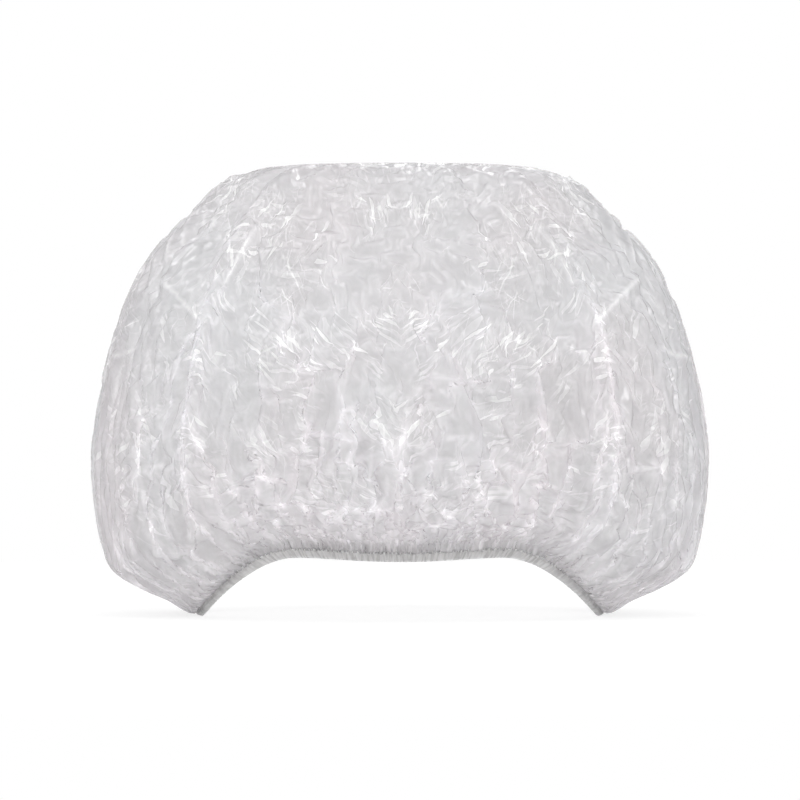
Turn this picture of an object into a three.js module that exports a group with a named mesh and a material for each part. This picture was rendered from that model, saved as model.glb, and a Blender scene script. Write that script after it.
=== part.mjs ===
// A disposable shower cap: a clear film crown gathered into an elastic hem.
// Millimetres, +Z up, front towards -Y, origin at the middle of the surface that it rests on.

import * as THREE from "three";
import { mergeVertices } from "three/addons/utils/BufferGeometryUtils.js";

// Overall size of the puffed-up cap
const CAP_WIDTH = 220;
const CAP_DEPTH = 182;
const CAP_HEIGHT = 160;

// Level top of the crown
const CROWN_FLAT_WIDTH = 92;
const CROWN_FLAT_DEPTH = 78;
const CROWN_FLAT_DROP = 1.4;

// Rounded shoulder under the top
const SHOULDER_WIDTH = 132;
const SHOULDER_DEPTH = 112;
const SHOULDER_DROP = 7;

// Sloping flank
const FLANK_WIDTH = 190;
const FLANK_DEPTH = 158;
const FLANK_DROP = 43;

// Height of the widest ring above the resting surface
const SIDE_BULGE_HEIGHT = 54;
const FRONT_BULGE_HEIGHT = 68;

// Low lobes where the film turns in towards the hem
const LOBE_WIDTH = 207;
const LOBE_DEPTH = 168;
const SIDE_LOBE_HEIGHT = 18;
const FRONT_LOBE_HEIGHT = 40;

// Opening along the lower edge of the hem, arched at the front and back
const OPENING_WIDTH = 142;
const OPENING_DEPTH = 120;
const ARCH_HEIGHT = 21.4;
const ARCH_LEVEL_WIDTH = 72;
const ARCH_EASING = 1.78;
const ARCH_SAG = 1.4;
const REST_INSET = 1.4;

// Exponents of the outlines seen from above: 2 is an ellipse, and more is squarer
const OPENING_EXPONENT = 2.6;
const CROWN_EXPONENT = 2.2;

// Main folds of the gathered film: shallow over the shoulder, deeper in the lobes, swaying as they rise
const FOLD_COUNT = 24;
const SHOULDER_FOLD_DEPTH = 2.4;
const LOBE_FOLD_DEPTH = 3.6;
const FOLD_SWAY = 0.05;
const FOLD_PATCHES = 10;

// Where the folds begin, are whole, deepen and are deepest, as shares of the way from the top to the hem
const FOLDS_BEGIN = 0.15;
const FOLDS_WHOLE = 0.28;
const FOLDS_DEEPEN = 0.5;
const FOLDS_DEEPEST = 0.8;

// Film, hem and elastic
const FILM_WALL = 0.8;
const HEM_HEIGHT = 3.6;
const HEM_WALL = 0.4;
const ELASTIC_WIDTH = 2;
const ELASTIC_THICKNESS = 0.4;
const ELASTIC_LAP = 16;
const WELD_HEIGHT = 0.6;
const FACING_HEIGHT = 2.7;
const FACING_WALL = 0.4;
const LAP_LENGTH = 24;
const LAP_WALL = 0.4;

// Clearances
const FIT = 0.2;
const SEAT_GAP = 0.3;

// Faces around the opening, two to a fold, and rows of the crown as shares of the way from its top to the hem
const AROUND = 2 * FOLD_COUNT;
const CROWN_ROWS = [0, 0.09, 0.17, 0.22, 0.27, 0.35, 0.44, 0.53, 0.62, 0.71, 0.78, 0.84, 0.92, 1];

const FULL_TURN = 2 * Math.PI;
const BACK = Math.PI;

// Sizes of the hem that follow from those above
const CHANNEL = 2 * ELASTIC_THICKNESS + 3 * FIT;
const HEM_HALF = CHANNEL / 2 + HEM_WALL;
const SEAT = HEM_HEIGHT + SEAT_GAP;

const film = { color: 0xdcdcde, roughness: 0.18, metalness: 0, transparent: true, opacity: 0.45 };
const weldedFilm = { color: 0xc4c2c4, roughness: 0.3, metalness: 0, transparent: true, opacity: 0.7 };
const rubber = { color: 0xb5b2b3, roughness: 0.75, metalness: 0 };

// A point of an oval outline: 0 at the front, a quarter turn at the right side
function ovalPoint(angle, width, depth, exponent, height) {
  const across = Math.sin(angle);
  const ahead = Math.cos(angle);
  const side = Math.pow(Math.abs(across) / (width / 2), exponent);
  const front = Math.pow(Math.abs(ahead) / (depth / 2), exponent);
  const radius = Math.pow(side + front, -1 / exponent);
  return new THREE.Vector3(radius * across, -radius * ahead, height);
}

// A point of the opening, seen from above
function openingPoint(angle, height) {
  return ovalPoint(angle, OPENING_WIDTH, OPENING_DEPTH, OPENING_EXPONENT, height);
}

// A point of the hem's lower edge
function hemEdge(angle) {
  const height = ARCH_HEIGHT * (1 - archFall(angle)) - ARCH_SAG * archSag(angle);
  return openingPoint(angle, height);
}

// How far the arch has come down: 0 on the front and back stretches, 1 on the sides that rest
function archFall(angle) {
  const level = ARCH_LEVEL_WIDTH / 2;
  const rest = OPENING_WIDTH / 2 - REST_INSET;
  const across = Math.abs(openingPoint(angle, 0).x);
  const share = THREE.MathUtils.clamp((across - level) / (rest - level), 0, 1);
  return Math.pow(share, ARCH_EASING);
}

// How far the front and back stretches hang: 1 at their middle, 0 at their ends
function archSag(angle) {
  const across = openingPoint(angle, 0).x / (ARCH_LEVEL_WIDTH / 2);
  return Math.pow(1 - Math.min(1, across * across), 2);
}

// A point near the hem, out from the head and up the band from its lower edge
function hemPoint(angle, out, up) {
  const step = 0.5 * FULL_TURN / AROUND;
  const ahead = hemEdge(angle + step);
  const along = ahead.sub(hemEdge(angle - step)).normalize();
  const upward = new THREE.Vector3(0, 0, 1).addScaledVector(along, -along.z).normalize();
  const outward = new THREE.Vector3().crossVectors(along, upward);
  return hemEdge(angle).addScaledVector(outward, out).addScaledVector(upward, up);
}

// A ring of the crown, with a height of its own at the sides and at the front and back
function ringPoint(angle, width, depth, sideHeight, frontHeight) {
  const height = THREE.MathUtils.lerp(frontHeight, sideHeight, archFall(angle));
  return ovalPoint(angle, width, depth, CROWN_EXPONENT, height);
}

// The film's line from the top of the crown down to the hem
function meridian(angle) {
  const flat = CAP_HEIGHT - CROWN_FLAT_DROP;
  const shoulder = CAP_HEIGHT - SHOULDER_DROP;
  const flank = CAP_HEIGHT - FLANK_DROP;
  return new THREE.CatmullRomCurve3([
    new THREE.Vector3(0, 0, CAP_HEIGHT),
    ringPoint(angle, CROWN_FLAT_WIDTH, CROWN_FLAT_DEPTH, flat, flat),
    ringPoint(angle, SHOULDER_WIDTH, SHOULDER_DEPTH, shoulder, shoulder),
    ringPoint(angle, FLANK_WIDTH, FLANK_DEPTH, flank, flank),
    ringPoint(angle, CAP_WIDTH, CAP_DEPTH, SIDE_BULGE_HEIGHT, FRONT_BULGE_HEIGHT),
    ringPoint(angle, LOBE_WIDTH, LOBE_DEPTH, SIDE_LOBE_HEIGHT, FRONT_LOBE_HEIGHT),
    hemPoint(angle, 0, SEAT),
  ]);
}

// The crown's outward direction, from its lines down and around
function crownNormal(angle, share) {
  const step = 0.5 * FULL_TURN / AROUND;
  const down = meridian(angle).getTangentAt(share);
  const around = meridian(angle + step).getPointAt(share).sub(meridian(angle - step).getPointAt(share));
  if (share === 0) {
    return new THREE.Vector3(0, 0, 1);
  }
  return down.cross(around).normalize();
}

// How deep the folds are drawn in: unevenly, with none at the top and at the seam
function foldDepth(angle, share) {
  const { smoothstep } = THREE.MathUtils;
  const shoulder = SHOULDER_FOLD_DEPTH * smoothstep(share, FOLDS_BEGIN, FOLDS_WHOLE);
  const lobe = (LOBE_FOLD_DEPTH - SHOULDER_FOLD_DEPTH) * smoothstep(share, FOLDS_DEEPEN, FOLDS_DEEPEST);
  const uneven = 0.65 + 0.35 * Math.cos(FOLD_PATCHES * angle) * Math.cos(2 * FULL_TURN * share);
  return (shoulder + lobe) * uneven * (1 - smoothstep(share, FOLDS_DEEPEST, 1));
}

// A point of the crown film, at a depth below its outer face, on a fold that sways from side to side
function crownPoint(angle, share, depth) {
  const fold = 0.5 - 0.5 * Math.cos(FOLD_COUNT * angle);
  const inward = depth + fold * foldDepth(angle, share);
  const swayed = angle + FOLD_SWAY * Math.sin(4 * angle) * Math.sin(FULL_TURN * share);
  return meridian(swayed).getPointAt(share).addScaledVector(crownNormal(swayed, share), -inward);
}

// A closed body through sections of equal corner count: a ring, or a strip whose flat ends have an outline
function loft(sections, outline) {
  const count = sections[0].length;
  const corner = (section, index) => (section % sections.length) * count + (index % count);
  const steps = outline ? sections.length - 1 : sections.length;
  const faces = [];
  for (let i = 0; i < steps; i += 1) {
    for (let j = 0; j < count; j += 1) {
      faces.push([corner(i, j), corner(i + 1, j), corner(i + 1, j + 1)]);
      faces.push([corner(i, j), corner(i + 1, j + 1), corner(i, j + 1)]);
    }
  }
  if (outline) {
    for (const [a, b, c] of THREE.ShapeUtils.triangulateShape(outline, [])) {
      faces.push([corner(0, a), corner(0, b), corner(0, c)]);
      faces.push([corner(steps, c), corner(steps, b), corner(steps, a)]);
    }
  }
  return joinedBody(sections.flat(), faces);
}

// Joins corners that share a place and leaves out the faces that close up there
function joinedBody(points, faces) {
  const body = new THREE.BufferGeometry().setFromPoints(points);
  body.setIndex(faces.flat());
  const joined = mergeVertices(body);
  const kept = [];
  for (let i = 0; i < joined.index.count; i += 3) {
    const [a, b, c] = joined.index.array.slice(i, i + 3);
    if (a !== b && b !== c && c !== a) {
      kept.push(a, b, c);
    }
  }
  joined.setIndex(kept);
  joined.computeVertexNormals();
  return joined;
}

// The angles of the faces around the opening
function turn() {
  return Array.from({ length: AROUND }, (_, i) => (FULL_TURN * i) / AROUND);
}

// A whole ring along the hem, from its section's corners as out and up
function hemRing(section) {
  return loft(turn().map((angle) => section.map(([out, up]) => hemPoint(angle, out, up))));
}

// A strip along the hem between two angles; section gives its corners at a share of the way
function hemStrip(start, end, section) {
  const step = FULL_TURN / AROUND;
  const angles = [start];
  for (let i = Math.floor(start / step) + 1; i * step < end; i += 1) {
    angles.push(i * step);
  }
  angles.push(end);
  const corners = (angle) => section((angle - start) / (end - start));
  const sections = angles.map((angle) => corners(angle).map(([out, up]) => hemPoint(angle, out, up)));
  return loft(sections, section(0).map(([out, up]) => new THREE.Vector2(out, up)));
}

// A flat rectangle of a hem section: its middle line, thickness, lower edge and height
function flatSection(out, thickness, up, height) {
  const half = thickness / 2;
  return [
    [out - half, up],
    [out + half, up],
    [out + half, up + height],
    [out - half, up + height],
  ];
}

// A channel section, open upwards: half its outer thickness, wall, lowest edge and top edge
function channelSection(half, wall, lowest, top) {
  return [
    [-half, lowest],
    [half, lowest],
    [half, top],
    [half - wall, top],
    [half - wall, lowest + wall],
    [wall - half, lowest + wall],
    [wall - half, top],
    [-half, top],
  ];
}

// The angle that a length along the hem takes at the back
function backAngle(length) {
  return length / (OPENING_DEPTH / 2);
}

// Crown: one thin film with the opening below, its inner face down to the edge and its outer face back up
function crownFilm() {
  const section = (angle) => {
    const inner = CROWN_ROWS.map((share) => crownPoint(share === 0 ? 0 : angle, share, FILM_WALL));
    const outer = CROWN_ROWS.map((share) => crownPoint(share === 0 ? 0 : angle, share, 0));
    return [...inner, ...outer.reverse()];
  };
  return loft(turn().map(section));
}

// Hem casing: the film turned up around the elastic
function hemCasing() {
  return hemRing(channelSection(HEM_HALF, HEM_WALL, 0, HEM_HEIGHT));
}

// Weld line that closes the casing above the elastic
function hemWeld() {
  return hemRing(flatSection(0, CHANNEL - 2 * FIT, HEM_HEIGHT - WELD_HEIGHT, WELD_HEIGHT));
}

// Facing: the raw edge of the turned film, standing inside above the weld
function hemFacing() {
  return hemRing(flatSection(FACING_WALL / 2 - HEM_HALF, FACING_WALL, SEAT, FACING_HEIGHT));
}

// Elastic: one flat band around the opening, its ends lapped at the back
function elasticBand() {
  const half = backAngle(ELASTIC_LAP) / 2;
  const layer = ELASTIC_THICKNESS + FIT;
  const bottom = HEM_WALL + FIT;
  const section = (share) => flatSection(layer * (0.5 - share), ELASTIC_THICKNESS, bottom, ELASTIC_WIDTH);
  return hemStrip(BACK - half, BACK + FULL_TURN + half, section);
}

// Lap: the end of the hem folded over its start and welded, at the middle of the back
function hemLap() {
  const half = backAngle(LAP_LENGTH) / 2;
  const reach = HEM_HALF + SEAT_GAP + LAP_WALL;
  const section = channelSection(reach, LAP_WALL, -SEAT_GAP - LAP_WALL, HEM_HEIGHT);
  return hemStrip(BACK - half, BACK + half, () => section);
}

function piece(name, geometry, finish) {
  const mesh = new THREE.Mesh(geometry, new THREE.MeshStandardMaterial(finish));
  mesh.name = name;
  return mesh;
}

const hem = new THREE.Group();
hem.add(piece("hem_casing", hemCasing(), weldedFilm));
hem.add(piece("hem_weld", hemWeld(), weldedFilm));
hem.add(piece("hem_facing", hemFacing(), film));
hem.add(piece("elastic_band", elasticBand(), rubber));
hem.add(piece("hem_lap", hemLap(), weldedFilm));

const showerCap = new THREE.Group();
showerCap.add(piece("crown_film", crownFilm(), film));
showerCap.add(hem);

export default showerCap;
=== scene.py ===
# %% [markdown]
# # A shower cap of clear crumpled film
# The cap is one disc of thin film whose edge is turned over an elastic and welded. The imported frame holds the
# solids, the places and the joint, and this lesson dresses them. Everything is in metres, with the front
# towards -Y.

import bpy
import numpy as np
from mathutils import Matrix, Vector


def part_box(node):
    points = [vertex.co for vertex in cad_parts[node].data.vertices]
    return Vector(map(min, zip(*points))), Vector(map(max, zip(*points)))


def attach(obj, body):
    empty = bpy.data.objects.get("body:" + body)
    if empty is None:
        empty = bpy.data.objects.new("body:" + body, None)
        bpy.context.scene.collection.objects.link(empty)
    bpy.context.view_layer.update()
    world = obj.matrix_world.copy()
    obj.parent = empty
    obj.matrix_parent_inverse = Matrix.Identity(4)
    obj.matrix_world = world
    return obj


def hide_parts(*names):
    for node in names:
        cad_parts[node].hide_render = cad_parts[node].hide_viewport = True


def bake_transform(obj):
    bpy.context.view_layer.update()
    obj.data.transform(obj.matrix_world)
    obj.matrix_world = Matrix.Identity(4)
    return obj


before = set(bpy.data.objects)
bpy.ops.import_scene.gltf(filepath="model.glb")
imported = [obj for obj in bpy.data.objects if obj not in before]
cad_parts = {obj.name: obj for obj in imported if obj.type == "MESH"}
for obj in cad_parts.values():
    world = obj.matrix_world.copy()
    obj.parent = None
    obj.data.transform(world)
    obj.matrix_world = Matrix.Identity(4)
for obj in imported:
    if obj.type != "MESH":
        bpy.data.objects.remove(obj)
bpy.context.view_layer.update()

MM = 0.001
print("nodes:", sorted(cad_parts))

# %% [markdown]
# ## Sizes
# The crown and the hem of the frame give the main sizes. The hem is an oval band that arches up at the front
# and back and comes down to rest at the sides. The film is a disc about 510 mm across inside its turned edge.

# %% Sizes taken from the frame
crown_corner = np.array(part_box("crown_film"))[1]
hem_corner = np.array(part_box("hem_casing"))[1]
HEM_THICKNESS = 2.2 * MM
HEM_HEIGHT = 3.6 * MM
FILM_RADIUS = 255 * MM
CAP_HALF_WIDTH = crown_corner[0]
CAP_HEIGHT = crown_corner[2]
OPENING_HALF_WIDTH = hem_corner[0] - HEM_THICKNESS / 2
OPENING_HALF_DEPTH = hem_corner[1] - HEM_THICKNESS / 2
ARCH_HEIGHT = hem_corner[2] - HEM_HEIGHT
ARCH_LEVEL_HALF = 36 * MM
ARCH_EASING = 1.78
ARCH_SAG = 1.4 * MM
REST_INSET = 1.4 * MM
OPENING_EXPONENT = 2.6
CROWN_EXPONENT = 2.2
print("opening", 2 * OPENING_HALF_WIDTH, "by", 2 * OPENING_HALF_DEPTH, "arch", ARCH_HEIGHT)

# %% [markdown]
# ## Camera
# The photograph looks at the cap from straight ahead. A long lens far away keeps the front hem and the widest
# ring at nearly one scale. The cap's width fills its share of the picture, and the camera sits level with the
# picture's middle row.

# %% Camera
PICTURE_PX = 800
CAP_WIDTH_PX = 621
RESTING_ROW_PX = 614
CAMERA_DISTANCE = 2.2

metres_per_px = 2 * CAP_HALF_WIDTH / CAP_WIDTH_PX
camera_data = bpy.data.cameras.new("front_camera")
camera_data.lens = camera_data.sensor_width * CAMERA_DISTANCE / (PICTURE_PX * metres_per_px)
camera = bpy.data.objects.new("front_camera", camera_data)
camera.location = (0, -CAMERA_DISTANCE, (RESTING_ROW_PX - PICTURE_PX / 2) * metres_per_px)
camera.rotation_euler = (np.pi / 2, 0, 0)
bpy.context.collection.objects.link(camera)
bpy.context.scene.camera = camera
print("lens", round(camera_data.lens, 1), "mm, level", round(camera.location.z, 4), "m")

# %% [markdown]
# ## The puffed outline
# Trapped air holds the film out as a soft dome: flat on top, sloping shoulders, widest low down, then rolling
# in under itself to the hem. Two outlines, one across and one front to back, are smooth curves through a few
# points, and every point of the dome is found between them, so one formula gives the whole shape. Where the
# arch slopes, the film hangs a little over the hem.

# %% The dome as a function of two parameters
SIDE_OUTLINE = MM * np.array([
    [0, 158.9], [24, 158.7], [44, 158], [56, 155.6], [65, 151.4], [72, 144.2], [80, 136.5], [89.5, 125.5],
    [97.6, 109], [103, 92], [106.8, 75], [109, 56], [108, 40], [105.6, 26], [102, 16.4], [93, 10.4], [83, 6],
    [77, 2.4], [73.8, 1.1], [72.7, 1.6], [72.5, 3]])
FRONT_OUTLINE = MM * np.array([
    [0, 158.9], [21, 158.7], [38, 158], [48, 155.4], [55, 151], [61, 143.8], [68, 135], [75.5, 124.5],
    [81.6, 110], [86, 97], [88.8, 84], [90, 69], [89, 57], [86.4, 47], [82, 39.8], [76, 34.6], [70, 31.2],
    [65.8, 29], [63, 27.4], [61.7, 25.9], [61.4, 24.4]])
CURVE_STEPS = 24
HEM_DROOP = 3.4 * MM
DROOP_BEGINS, DROOP_GROWS, DROOP_ENDS = 0.84, 0.1, 0.03


def curve_through(points):
    """Catmull-Rom curve: between two points, the cubic whose slopes are half the step between neighbours."""
    ends = np.concatenate([2 * points[:1] - points[1:2], points, 2 * points[-1:] - points[-2:-1]])
    t = np.linspace(0, 1, CURVE_STEPS, endpoint=False)[None, :, None]
    a, b, c, d = (ends[k:len(ends) - 3 + k, None] for k in range(4))
    cubic = 2 * b + (c - a) * t + (2 * a - 5 * b + 4 * c - d) * t**2 + (3 * b - a - 3 * c + d) * t**3
    return np.concatenate([0.5 * cubic.reshape(-1, 2), points[-1:]])


def oval(turn, half_width, half_depth, exponent):
    """Point of a superellipse at an angle from the front: |x/w|^n + |y/d|^n = 1."""
    side = np.abs(np.sin(turn)) / half_width
    ahead = np.abs(np.cos(turn)) / half_depth
    radius = (side**exponent + ahead**exponent) ** (-1 / exponent)
    return radius * np.sin(turn), -radius * np.cos(turn)


def arch_fall(turn):
    """How far the hem has come down: 0 on the front and back stretches, 1 where the sides rest."""
    across = np.abs(oval(turn, OPENING_HALF_WIDTH, OPENING_HALF_DEPTH, OPENING_EXPONENT)[0])
    rest = OPENING_HALF_WIDTH - REST_INSET
    return np.clip((across - ARCH_LEVEL_HALF) / (rest - ARCH_LEVEL_HALF), 0, 1) ** ARCH_EASING


def arch_sag(turn):
    """How far the front and back stretches hang: (1 - a^2)^2, with a from 0 in the middle to 1 at an end."""
    across = oval(turn, OPENING_HALF_WIDTH, OPENING_HALF_DEPTH, OPENING_EXPONENT)[0] / ARCH_LEVEL_HALF
    return (1 - np.minimum(1, across**2)) ** 2


def dome(share, turn):
    """Point at a share of the way down from the crown: an oval between the two outlines, lowered by the
    arch's fall, by its sag over the last third, and by the droop of the film over the sloping hem."""
    side, front = curve_through(SIDE_OUTLINE), curve_through(FRONT_OUTLINE)
    steps = np.linalg.norm(np.diff((side + front) / 2, axis=0), axis=1)
    way = np.concatenate([[0], np.cumsum(steps)]) / steps.sum()
    half_width = np.maximum(np.interp(share, way, side[:, 0]), 1e-9)
    half_depth = np.maximum(np.interp(share, way, front[:, 0]), 1e-9)
    fall = arch_fall(turn)
    near_hem = np.clip(3 * share - 2, 0, 1)
    z = np.interp(share, way, front[:, 1]) * (1 - fall) + np.interp(share, way, side[:, 1]) * fall
    z -= ARCH_SAG * arch_sag(turn) * near_hem
    drooping = np.clip((share - DROOP_BEGINS) / DROOP_GROWS, 0, 1)
    held = np.clip((1 - share) / DROOP_ENDS, 0, 1)
    z -= 4 * HEM_DROOP * fall * (1 - fall) * drooping * held
    exponent = CROWN_EXPONENT + (OPENING_EXPONENT - CROWN_EXPONENT) * near_hem
    x, y = oval(turn, half_width, half_depth, exponent)
    return np.stack([x, y, z], axis=-1)


print("the dome meets the hem's front at", dome(np.array(1.0), np.array(0.0)).round(4).tolist())

# %% [markdown]
# ## The main folds
# The elastic draws the film into gathers that run up from the hem, shallow over the shoulder and gone at the
# top. They are the same folds as the frame's crown has: a cosine around the cap, uneven from place to place.

# %% Gathers as a function of the same parameters
FOLD_COUNT = 24
SHOULDER_FOLD_DEPTH = 2.4 * MM
LOBE_FOLD_DEPTH = 3.6 * MM
FOLD_SWAY = 0.05
FOLD_PATCHES = 10
FOLD_EVEN, FOLD_UNEVEN = 0.65, 0.35
FOLDS_BEGIN, FOLDS_WHOLE, FOLDS_DEEPEN, FOLDS_DEEPEST = 0.15, 0.28, 0.5, 0.8


def smooth_step(value, low, high):
    """0 below low, 1 above high, and 3 t^2 - 2 t^3 in between."""
    t = np.clip((value - low) / (high - low), 0, 1)
    return t * t * (3 - 2 * t)


def main_folds(share, turn):
    """How far a gather is drawn in: a cosine around the cap that sways with height, with none at the seam."""
    around = turn - FOLD_SWAY * np.sin(4 * turn) * np.sin(2 * np.pi * share)
    shoulder = SHOULDER_FOLD_DEPTH * smooth_step(share, FOLDS_BEGIN, FOLDS_WHOLE)
    lobe = (LOBE_FOLD_DEPTH - SHOULDER_FOLD_DEPTH) * smooth_step(share, FOLDS_DEEPEN, FOLDS_DEEPEST)
    uneven = FOLD_EVEN + FOLD_UNEVEN * np.cos(FOLD_PATCHES * around) * np.cos(4 * np.pi * share)
    seam = 1 - smooth_step(share, FOLDS_DEEPEST, 1)
    return (0.5 - 0.5 * np.cos(FOLD_COUNT * around)) * (shoulder + lobe) * uneven * seam


print("deepest gather", main_folds(FOLDS_DEEPEST, np.linspace(0, 2 * np.pi, 720)).max().round(5), "m")

# %% [markdown]
# ## The flat disc
# The film is cut flat. A square grid is laid on the disc ring by ring, so its cells stay nearly even and
# there is no crowded middle. The grid is kept square in memory, which makes every neighbour a plain slice of
# an array. Two kinds of noise on the flat film say where it is loose and where it begins to crease.

# %% Disc grid, its measures and its noises


def disc_grid(cells):
    """Square grid on a unit disc: a point's ring is its larger coordinate, and its place along the ring's
    side sets its angle."""
    u, v = np.meshgrid(*[np.linspace(-1, 1, cells + 1)] * 2, indexing="ij")
    wide = np.abs(u) > np.abs(v)
    ring = np.maximum(np.abs(u), np.abs(v))
    slope_wide = v / np.where(wide, u, 1)
    slope_tall = u / np.where(wide | (v == 0), 1, v)
    turn_wide = np.pi / 4 * slope_wide + np.pi * (u < 0)
    turn_tall = np.pi / 2 - np.pi / 4 * slope_tall + np.pi * (v < 0)
    return ring, np.where(wide, turn_wide, turn_tall)


def grid_normals(points):
    """Unit normals of a grid: the cross product of its two directions."""
    normal = np.cross(np.gradient(points, axis=0), np.gradient(points, axis=1))
    return normal / np.maximum(np.linalg.norm(normal, axis=-1, keepdims=True), 1e-12)


def grid_area(points):
    """Area of a grid, two triangles to a cell."""
    a, b, c, d = points[:-1, :-1], points[1:, :-1], points[1:, 1:], points[:-1, 1:]
    halves = np.cross(b - a, c - a), np.cross(c - a, d - a)
    return sum(np.linalg.norm(half, axis=-1).sum() for half in halves) / 2


def plane_waves(points, wavelength, seed, count=32):
    """Smooth noise of size about 1: many plane waves in random directions, of like lengths, added up."""
    rng = np.random.default_rng(seed)
    way = rng.normal(size=(count, points.shape[-1]))
    length = wavelength * rng.uniform(0.7, 1.4, (count, 1))
    way *= 2 * np.pi / (length * np.linalg.norm(way, axis=1, keepdims=True))
    return np.sin(points @ way.T + rng.uniform(0, 2 * np.pi, count)).sum(-1) / np.sqrt(count / 2)


def roofs(flat, size, seed, stretch=1.4):
    """Distance to the nearest border between scattered cells, in cell sizes: a small roof over every cell."""
    rng = np.random.default_rng(seed)
    lean = rng.uniform(0, np.pi)
    turned = flat @ np.array([[np.cos(lean), -np.sin(lean)], [np.sin(lean), np.cos(lean)]])
    place = turned / (size * np.array([stretch, 1 / stretch]))
    reach = int(np.abs(place).max()) + 4
    middles = rng.uniform(0, 1, (2 * reach, 2 * reach, 2))
    home = np.floor(place).astype(int)
    around = [home + (u, v) for u in range(-2, 3) for v in range(-2, 3)]
    gaps = np.stack([cell + middles[cell[..., 0] + reach, cell[..., 1] + reach] - place for cell in around])
    nearest = np.argmin((gaps**2).sum(-1), axis=0)[None, ..., None]
    own = np.take_along_axis(gaps, nearest, axis=0)
    apart = np.linalg.norm(gaps - own, axis=-1)
    border = ((gaps**2).sum(-1) - (own**2).sum(-1)) / np.maximum(2 * apart, 1e-9)
    return np.where(apart > 0, border, np.inf).min(axis=0)


print("a disc of 10 by 10 cells has", disc_grid(10)[0].size, "points")

# %% [markdown]
# ## Gathering the film
# The flat disc has far more film around its edge than the hem is long, so the spare film has to buckle. A
# small cloth solver does that: every edge is pushed back towards its flat length, points two cells apart push
# against sharp bends, and each point stays in a thin layer around the dome. Edges that share no point are
# moved together, as whole arrays. A coarse pass makes the main folds and a fine one the crumples, which is
# how film creases too.

# %% The cloth solver
SHEAR_GIVE = 0.6
BEND_GIVE = 0.04
EDGE_KINDS = (
    (1, 0, 1.0, False), (0, 1, 1.0, False),
    (1, 1, SHEAR_GIVE, False), (1, -1, SHEAR_GIVE, False),
    (2, 0, BEND_GIVE, True), (0, 2, BEND_GIVE, True),
)


def edge_groups(cells, step_u, step_v):
    """Index pairs of all edges that step by (step_u, step_v), in groups in which no point is used twice."""
    size = cells + 1
    main, rows = (step_u, 0) if step_u else (step_v, 1)
    groups = []
    for phase in range(2 * main):
        first = np.arange(phase, size - main, 2 * main)
        others = np.arange(size)
        slant = step_v if rows == 0 else 0
        others = others[max(0, -slant):size - max(0, slant)]
        if rows == 0:
            groups.append(((first[:, None], others[None]), (first[:, None] + main, others[None] + slant)))
        else:
            groups.append(((others[:, None], first[None]), (others[:, None], first[None] + main)))
    return groups


def film_edges(flat, loose, crumple, target):
    """Every group of edges with its rest length: the dome's spacing, and a share of the disc's spare film."""
    cells = len(flat) - 1
    edges = []
    for step_u, step_v, give, bend in EDGE_KINDS:
        for a, b in edge_groups(cells, step_u, step_v):
            cut = np.linalg.norm(flat[b] - flat[a], axis=-1, keepdims=True)
            near = np.linalg.norm(target[b] - target[a], axis=-1, keepdims=True)
            spare = (loose[a] + loose[b]) / 2 * np.maximum(cut - near, 0)
            spare = spare + (crumple[a] + crumple[b]) / 2 * near
            edges.append((a, b, near + spare, give, bend))
    return edges


def relax(points, target, normal, edges, low, high, slide, rounds):
    """Pushes edges to their rest length, half at each end, then keeps each point in its layer of the dome."""
    for _ in range(rounds):
        for a, b, rest, give, bend in edges:
            gap = points[b] - points[a]
            stretch = 1 - rest / (np.sqrt((gap * gap).sum(-1, keepdims=True)) + 1e-9)
            move = 0.5 * give * (np.minimum(stretch, 0) if bend else stretch) * gap
            points[a] += move
            points[b] -= move
        away = points - target
        out = (away * normal).sum(-1, keepdims=True)
        along = away - out * normal
        along *= np.minimum(1, slide / (np.sqrt((along * along).sum(-1, keepdims=True)) + 1e-9))
        points = target + np.clip(out, low, high) * normal + along
    return points


def finer(points, cells):
    """Cubic resampling of a square grid onto more cells, along one direction and then the other."""
    for axis in (0, 1):
        size = points.shape[axis]
        at = np.linspace(0, size - 1, cells + 1)
        whole = np.clip(at.astype(int), 0, size - 2)
        t = np.expand_dims(at - whole, (1, 2) if axis == 0 else (0, 2))
        a, b, c, d = (np.take(points, np.clip(whole + k, 0, size - 1), axis) for k in (-1, 0, 1, 2))
        cubic = 2 * b + (c - a) * t + (2 * a - 5 * b + 4 * c - d) * t**2 + (3 * b - a - 3 * c + d) * t**3
        points = cubic / 2
    return points


print("kinds of edges:", len(EDGE_KINDS))

# %% [markdown]
# ## Long folds
# A few long folds run over both shoulders and down the flanks, where the film was packed flat. They are
# straight lines on the flat film, the same in all four quarters, so they are measured there and become low
# ridges on the dome.

# %% Long folds
LONG_FOLD_HEIGHT = 0.8 * MM
LONG_FOLD_WIDTH = 3 * MM
LONG_FOLDS = MM * np.array([
    [0, 62, 50, 77], [8, 69, 43, 83], [15, 77, 52, 98], [29, 92, 41, 100], [72, 62, 90, 82],
    [48, 105, 81, 103], [81, 103, 100, 101], [24, 148, 62, 130], [78, 182, 115, 156]])


def long_folds(flat):
    """Nearness to the long folds, each from (forward, across) to (forward, across): 1 on a fold, and 0 from a
    fold's width on."""
    place = np.abs(flat)[..., None, :]
    start, run = LONG_FOLDS[:, :2], LONG_FOLDS[:, 2:] - LONG_FOLDS[:, :2]
    share = np.clip(((place - start) * run).sum(-1) / (run**2).sum(-1), 0, 1)
    gap = np.linalg.norm(place - start - share[..., None] * run, axis=-1)
    return smooth_step(LONG_FOLD_WIDTH - gap.min(-1), 0, LONG_FOLD_WIDTH)


print("long folds:", len(LONG_FOLDS), "in each quarter")

# %% [markdown]
# ## The gathered film
# How much film is spare differs from place to place: smooth panels lie between clusters of creases. The layer
# that the film may fill is thin at the hem and at the top, so the outline stays that of the dome.

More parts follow.
